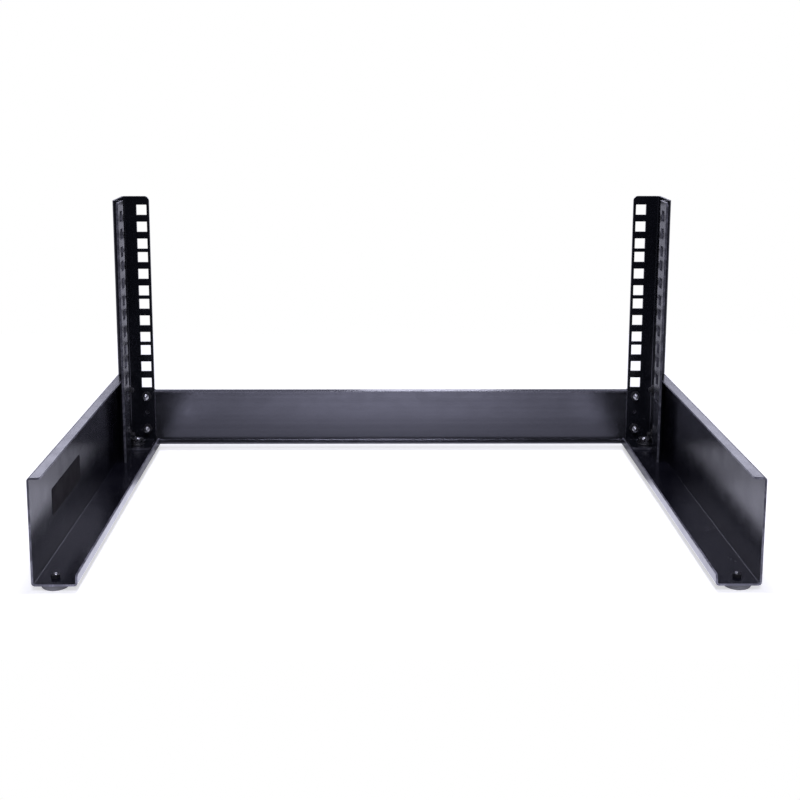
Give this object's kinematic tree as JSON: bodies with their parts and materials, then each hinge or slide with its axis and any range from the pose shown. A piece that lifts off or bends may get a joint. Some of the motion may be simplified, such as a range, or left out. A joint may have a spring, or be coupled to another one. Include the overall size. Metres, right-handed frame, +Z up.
{
  "type": "two post open frame rack",
  "caption": "Low desktop open frame: two square-holed posts joined by a beam, on long folded side trays with rubber feet, for standard-width equipment.",
  "frame": {"origin": "on the floor under the middle of the rack", "axes": "+X to the right seen from the open end of the trays, +Y from the open end to the posts, +Z up"},
  "size_m": [0.5096, 0.345, 0.2428],
  "materials": {
    "tray_coat": "satin black powder coat on folded steel",
    "post_coat": "satin black powder coat on folded steel",
    "beam_coat": "satin black powder coat on folded steel with faint streaks along it",
    "foot_rubber": "matt dark grey moulded rubber",
    "bolt_zinc": "bright zinc plate",
    "bolt_black": "black oxide",
    "nut_black": "black oxide",
    "nut_zinc": "bright zinc plate"
  },
  "bodies": {
    "root": {"cross_beam": "beam_coat", "side_tray_left": "tray_coat", "post_left": "post_coat", "foot_open_end_left": "foot_rubber", "foot_bolt_open_end_left": "bolt_zinc", "foot_post_end_left": "foot_rubber", "foot_bolt_post_end_left": "bolt_zinc", "foot_nut_open_end_left": "nut_black", "foot_nut_post_end_left": "nut_zinc", "foot_washer_left": "nut_black", "beam_bolt_lower_left": "bolt_zinc", "beam_nut_lower_left": "nut_black", "side_bolt_lower_left": "bolt_black", "side_nut_lower_left": "nut_black", "beam_bolt_upper_left": "bolt_zinc", "beam_nut_upper_left": "nut_black", "side_bolt_upper_left": "bolt_black", "side_nut_upper_left": "nut_black", "side_tray_right": "tray_coat", "post_right": "post_coat", "foot_open_end_right": "foot_rubber", "foot_bolt_open_end_right": "bolt_zinc", "foot_post_end_right": "foot_rubber", "foot_bolt_post_end_right": "bolt_zinc", "foot_nut_open_end_right": "nut_black", "foot_nut_post_end_right": "nut_zinc", "foot_washer_right": "nut_black", "beam_bolt_lower_right": "bolt_zinc", "beam_nut_lower_right": "nut_black", "side_bolt_lower_right": "bolt_black", "side_nut_lower_right": "nut_black", "beam_bolt_upper_right": "bolt_zinc", "beam_nut_upper_right": "nut_black", "side_bolt_upper_right": "bolt_black", "side_nut_upper_right": "nut_black"}
  },
  "joints": []
}
